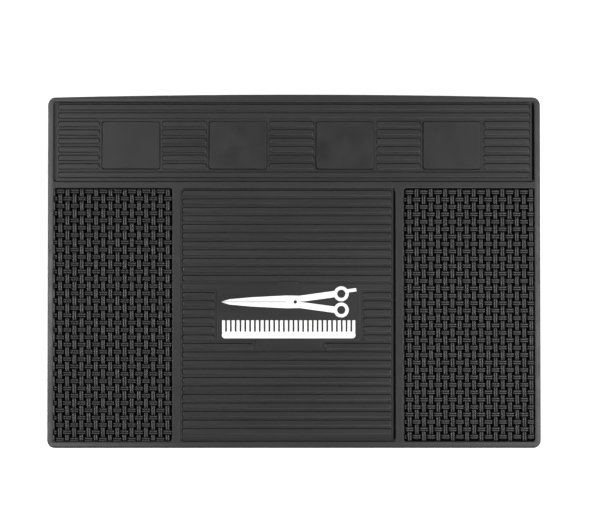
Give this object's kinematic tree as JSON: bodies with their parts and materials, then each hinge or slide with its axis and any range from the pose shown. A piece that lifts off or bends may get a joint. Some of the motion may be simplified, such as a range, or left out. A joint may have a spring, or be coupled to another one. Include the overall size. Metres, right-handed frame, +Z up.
{
  "type": "barber station mat",
  "caption": "Flat black rubber station mat with a raised rim, a ribbed tool strip with smooth magnetic pads, basket-weave side panels, a ribbed centre and a white comb-and-shears inlay.",
  "frame": {"origin": "middle of the mat's bounding box, on the surface that the mat lies on", "axes": "+X along the long side to the right, +Y to the rear edge with the tool strip, +Z up from the counter"},
  "size_m": [0.45, 0.3226, 0.006],
  "materials": {
    "backing": "matt black moulded rubber",
    "rim": "matt black moulded rubber with a fine grain",
    "ribs": "matt black moulded rubber",
    "pads": "smooth matt black rubber",
    "magnets": "nickel plating, sealed inside the mat",
    "weave": "satin black rubber strands, each with two rounded ridges",
    "plaque": "smooth matt black rubber",
    "inlay": "matt white soft plastic"
  },
  "bodies": {
    "root": {"base_sheet": "backing", "rim_frame": "rim", "tool_strip_ribs": "ribs", "centre_panel_ribs": "ribs", "tool_pad_1": "pads", "tool_pad_2": "pads", "tool_pad_3": "pads", "tool_pad_4": "pads", "pad_magnet_1": "magnets", "pad_magnet_2": "magnets", "pad_magnet_3": "magnets", "pad_magnet_4": "magnets", "left_weave_warp": "weave", "left_weave_weft": "weave", "right_weave_warp": "weave", "right_weave_weft": "weave", "emblem_plaque": "plaque", "emblem_shears": "inlay", "emblem_comb": "inlay"}
  },
  "joints": []
}
